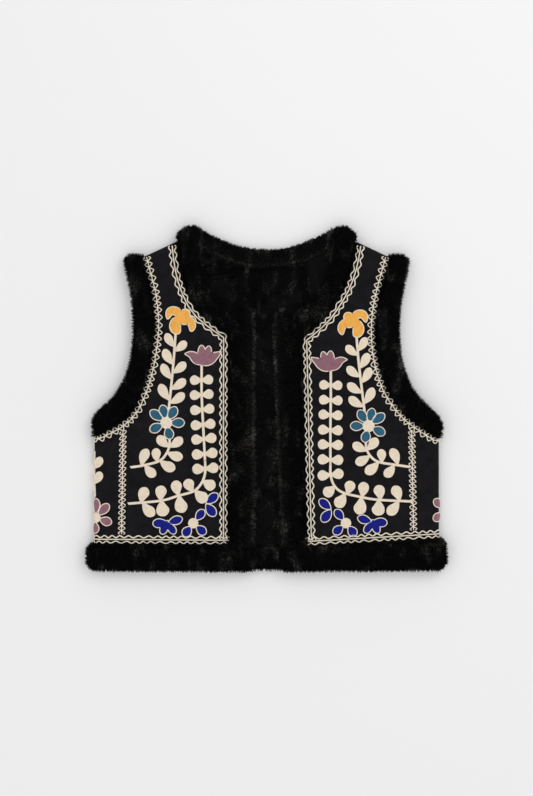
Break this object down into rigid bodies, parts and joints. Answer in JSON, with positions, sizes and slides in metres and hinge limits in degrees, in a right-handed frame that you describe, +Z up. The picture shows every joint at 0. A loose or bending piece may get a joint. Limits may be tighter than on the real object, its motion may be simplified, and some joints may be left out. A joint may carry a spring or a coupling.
{
  "type": "gilet",
  "caption": "Cropped open-front gilet laid flat, dark cloth with flower embroidery and cream braid, thick fur bands at neck, fronts, armholes and hem.",
  "frame": {"origin": "on the surface under the middle of the garment, as it lies flat", "axes": "+X to the right as the garment is seen with its front up, +Y from hem to neck, +Z up out of the front"},
  "size_m": [0.512, 0.4872, 0.024],
  "materials": {
    "cloth": "matt brushed twill",
    "fur": "short dense pile",
    "lining": "short dense pile",
    "braid": "soft satin cord",
    "thread_cream": "embroidery thread",
    "thread_yellow": "embroidery thread",
    "thread_mauve": "embroidery thread",
    "thread_teal": "embroidery thread",
    "thread_blue": "embroidery thread"
  },
  "bodies": {
    "root": {"front_left": "cloth", "front_right": "cloth", "side_left": "cloth", "side_right": "cloth", "back_panel": "cloth", "hem_fur": "fur", "armhole_fur_left": "fur", "armhole_fur_right": "fur", "neck_fur_left": "fur", "neck_fur_right": "fur", "neck_fur_back": "fur", "front_fur_left": "fur", "front_fur_right": "fur", "back_lining": "lining", "edge_braid_left": "braid", "edge_braid_right": "braid", "hem_braid_left": "braid", "hem_braid_right": "braid", "armhole_braid_left": "braid", "armhole_braid_right": "braid", "side_braid_left": "braid", "side_braid_right": "braid"}
  },
  "joints": []
}
